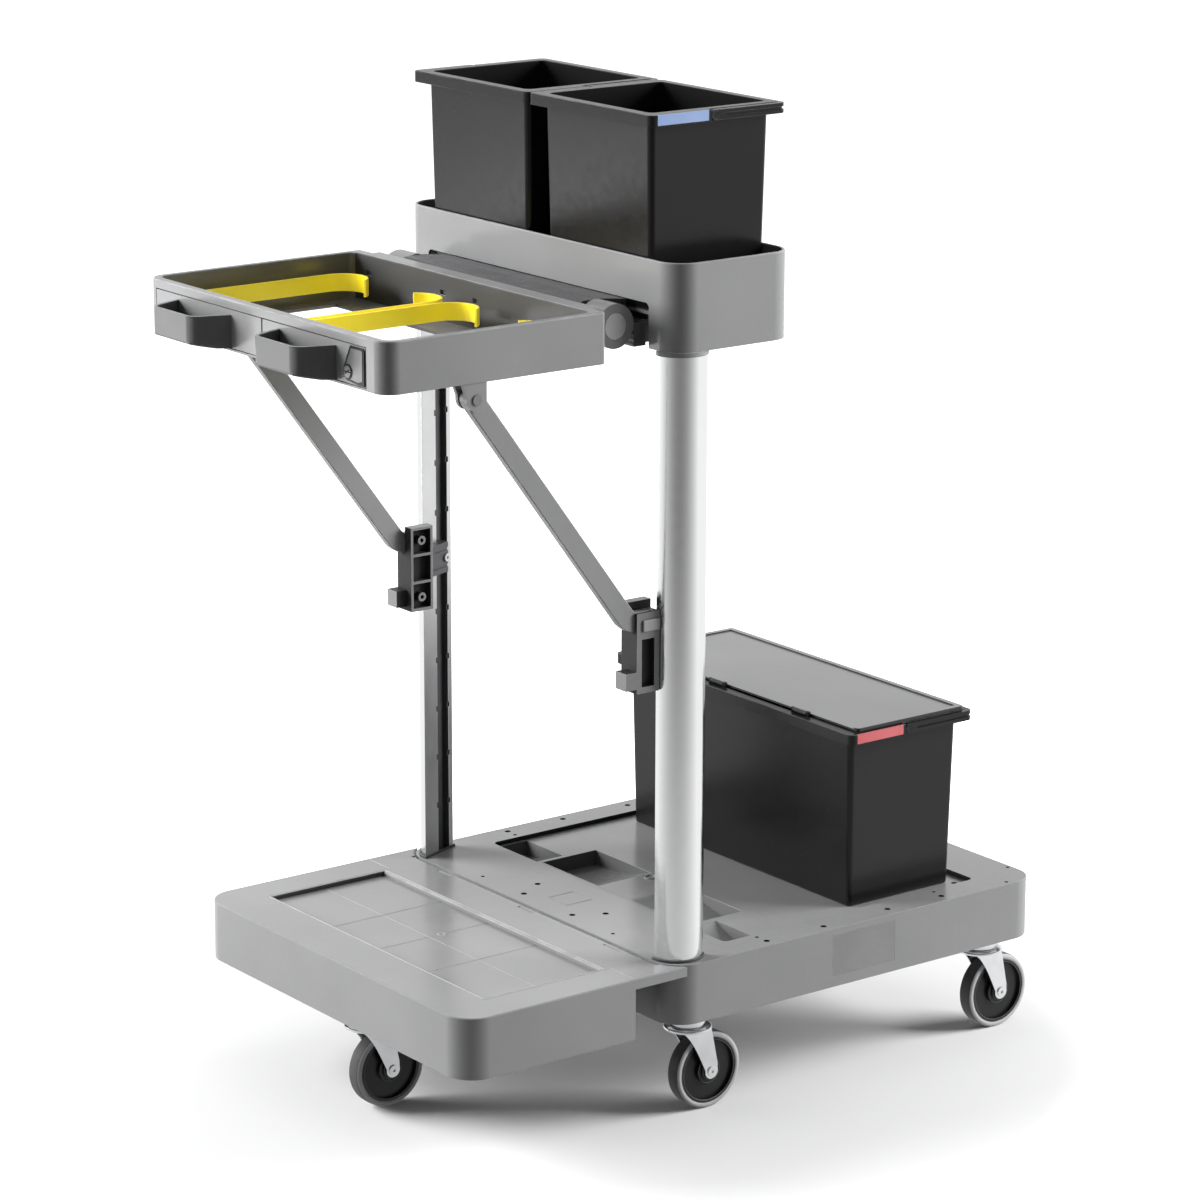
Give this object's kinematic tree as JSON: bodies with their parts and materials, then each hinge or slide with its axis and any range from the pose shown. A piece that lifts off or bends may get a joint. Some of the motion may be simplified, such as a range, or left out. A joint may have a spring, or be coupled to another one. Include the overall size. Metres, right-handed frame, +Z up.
{
  "type": "janitor cart",
  "caption": "Janitor cart with a castored deck and fold-up platform, aluminium posts, a bin tray, a hinged bag frame with struts and pull-out loop fronts, and a lidded lower bin.",
  "frame": {"origin": "middle of the footprint on the floor, under the centre of the overall box", "axes": "+X to the cart's right side, +Y to the rear where the lidded bin stands, +Z up"},
  "size_m": [0.58, 1.0602, 1.251],
  "materials": {
    "grey_plastic": "satin moulded",
    "dark_plastic": "satin moulded",
    "black_plastic": "semi gloss moulded",
    "post_aluminium": "satin anodised",
    "plate_aluminium": "satin",
    "zinc_steel": "zinc plated",
    "cap_plastic": "satin moulded",
    "yellow_plastic": "satin moulded",
    "blue_label": "satin",
    "red_label": "satin",
    "hub_plastic": "satin moulded",
    "tyre_rubber": "matt"
  },
  "bodies": {
    "cart": {"deck": "grey_plastic", "blank_plate": "plate_aluminium", "post_sockets": "dark_plastic", "post_left": "post_aluminium", "post_right": "post_aluminium", "tray": "grey_plastic", "post_collars": "grey_plastic", "hinge_bracket": "dark_plastic", "hinge_cover": "dark_plastic", "hinge_shaft": "zinc_steel", "bracket_left": "dark_plastic", "bracket_right": "dark_plastic", "post_clamps": "dark_plastic", "clamp_screws": "zinc_steel", "platform_rod": "zinc_steel", "swivel_housings": "zinc_steel"},
    "platform": {"fold_platform": "grey_plastic", "platform_swivel": "zinc_steel"},
    "frame": {"bag_frame": "grey_plastic", "hinge_caps": "cap_plastic", "strut_clevises": "grey_plastic", "strut_pins": "zinc_steel"},
    "pull_left": {"front_left": "grey_plastic", "bag_loop_left": "yellow_plastic"},
    "pull_right": {"front_right": "grey_plastic", "bag_loop_right": "yellow_plastic", "lock_plate": "dark_plastic"},
    "lock": {"lock_barrel": "zinc_steel"},
    "brace_left": {"strut_left": "grey_plastic"},
    "brace_right": {"strut_right": "grey_plastic"},
    "bucket_top_left": {"bin_top_left": "black_plastic"},
    "carry_top_left": {"bail_top_left": "black_plastic"},
    "bucket_top_right": {"bin_top_right": "black_plastic", "label_blue": "blue_label"},
    "carry_top_right": {"bail_top_right": "black_plastic"},
    "bucket_lower": {"bin_lower": "black_plastic", "label_red": "red_label"},
    "carry_lower": {"bail_lower": "black_plastic"},
    "cover_lower": {"lid": "grey_plastic"},
    "castor_front_left": {"fork_front_left": "zinc_steel", "axle_front_left": "zinc_steel"},
    "wheel_front_left": {"hub_front_left": "hub_plastic", "tyre_front_left": "tyre_rubber"},
    "castor_front_right": {"fork_front_right": "zinc_steel", "axle_front_right": "zinc_steel"},
    "wheel_front_right": {"hub_front_right": "hub_plastic", "tyre_front_right": "tyre_rubber"},
    "castor_rear_left": {"fork_rear_left": "zinc_steel", "axle_rear_left": "zinc_steel"},
    "wheel_rear_left": {"hub_rear_left": "hub_plastic", "tyre_rear_left": "tyre_rubber"},
    "castor_rear_right": {"fork_rear_right": "zinc_steel", "axle_rear_right": "zinc_steel"},
    "wheel_rear_right": {"hub_rear_right": "hub_plastic", "tyre_rear_right": "tyre_rubber"},
    "castor_platform": {"fork_platform": "zinc_steel", "axle_platform": "zinc_steel"},
    "wheel_platform": {"hub_platform": "hub_plastic", "tyre_platform": "tyre_rubber"}
  },
  "joints": [
    {"name": "platform_fold", "type": "hinge", "parent": "cart", "child": "platform", "pos_m": [0, -0.0994, 0.204], "axis": [-1, 0, 0], "range_deg": [0, 90]},
    {"name": "frame_fold", "type": "hinge", "parent": "cart", "child": "frame", "pos_m": [0, -0.1349, 1.0035], "axis": [-1, 0, 0], "range_deg": [0, 90]},
    {"name": "strut_left_swing", "type": "hinge", "parent": "frame", "child": "brace_left", "pos_m": [-0.243, -0.3554, 0.948], "axis": [-1, 0, 0], "range_deg": [-53, 0]},
    {"name": "strut_right_swing", "type": "hinge", "parent": "frame", "child": "brace_right", "pos_m": [0.243, -0.3554, 0.948], "axis": [-1, 0, 0], "range_deg": [-53, 0]},
    {"name": "front_left_slide", "type": "slide", "parent": "frame", "child": "pull_left", "axis": [0, -1, 0], "range_m": [0, 0.2]},
    {"name": "front_right_slide", "type": "slide", "parent": "frame", "child": "pull_right", "axis": [0, -1, 0], "range_m": [0, 0.2]},
    {"name": "lock_turn", "type": "hinge", "parent": "pull_right", "child": "lock", "pos_m": [0.186, -0.4841, 0.986], "axis": [0, 1, 0], "range_deg": [0, 90]},
    {"name": "bin_top_left_lift", "type": "slide", "parent": "cart", "child": "bucket_top_left", "axis": [0, 0, 1], "range_m": [0, 0.25]},
    {"name": "bail_top_left_swing", "type": "hinge", "parent": "bucket_top_left", "child": "carry_top_left", "pos_m": [-0.12275, -0.0014, 1.244], "axis": [1, 0, 0], "range_deg": [0, 90]},
    {"name": "bin_top_right_lift", "type": "slide", "parent": "cart", "child": "bucket_top_right", "axis": [0, 0, 1], "range_m": [0, 0.25]},
    {"name": "bail_top_right_swing", "type": "hinge", "parent": "bucket_top_right", "child": "carry_top_right", "pos_m": [0.12275, -0.0014, 1.244], "axis": [1, 0, 0], "range_deg": [0, 90]},
    {"name": "bin_lower_lift", "type": "slide", "parent": "cart", "child": "bucket_lower", "axis": [0, 0, 1], "range_m": [0, 0.25]},
    {"name": "bail_lower_swing", "type": "hinge", "parent": "bucket_lower", "child": "carry_lower", "pos_m": [0, 0.3211, 0.435], "axis": [1, 0, 0], "range_deg": [0, 90]},
    {"name": "lid_swing", "type": "hinge", "parent": "bucket_lower", "child": "cover_lower", "pos_m": [0, 0.2371, 0.4456], "axis": [1, 0, 0], "range_deg": [0, 100]},
    {"name": "castor_front_left_swivel", "type": "hinge", "parent": "cart", "child": "castor_front_left", "pos_m": [-0.24, -0.0299, 0.113], "axis": [0, 0, 1], "continuous": true},
    {"name": "wheel_front_left_spin", "type": "hinge", "parent": "castor_front_left", "child": "wheel_front_left", "pos_m": [-0.24, -0.0039, 0.05], "axis": [1, 0, 0], "continuous": true},
    {"name": "castor_front_right_swivel", "type": "hinge", "parent": "cart", "child": "castor_front_right", "pos_m": [0.24, -0.0299, 0.113], "axis": [0, 0, 1], "continuous": true},
    {"name": "wheel_front_right_spin", "type": "hinge", "parent": "castor_front_right", "child": "wheel_front_right", "pos_m": [0.24, -0.0039, 0.05], "axis": [1, 0, 0], "continuous": true},
    {"name": "castor_rear_left_swivel", "type": "hinge", "parent": "cart", "child": "castor_rear_left", "pos_m": [-0.24, 0.4541, 0.113], "axis": [0, 0, 1], "continuous": true},
    {"name": "wheel_rear_left_spin", "type": "hinge", "parent": "castor_rear_left", "child": "wheel_rear_left", "pos_m": [-0.24, 0.4801, 0.05], "axis": [1, 0, 0], "continuous": true},
    {"name": "castor_rear_right_swivel", "type": "hinge", "parent": "cart", "child": "castor_rear_right", "pos_m": [0.24, 0.4541, 0.113], "axis": [0, 0, 1], "continuous": true},
    {"name": "wheel_rear_right_spin", "type": "hinge", "parent": "castor_rear_right", "child": "wheel_rear_right", "pos_m": [0.24, 0.4801, 0.05], "axis": [1, 0, 0], "continuous": true},
    {"name": "castor_platform_swivel", "type": "hinge", "parent": "platform", "child": "castor_platform", "pos_m": [0, -0.3454, 0.113], "axis": [0, 0, 1], "continuous": true},
    {"name": "wheel_platform_spin", "type": "hinge", "parent": "castor_platform", "child": "wheel_platform", "pos_m": [0, -0.3194, 0.05], "axis": [1, 0, 0], "continuous": true}
  ],
  "couplings": [
    {"joint": "strut_left_swing", "follows": "frame_fold", "ratio": -0.577},
    {"joint": "strut_right_swing", "follows": "frame_fold", "ratio": -0.577}
  ]
}
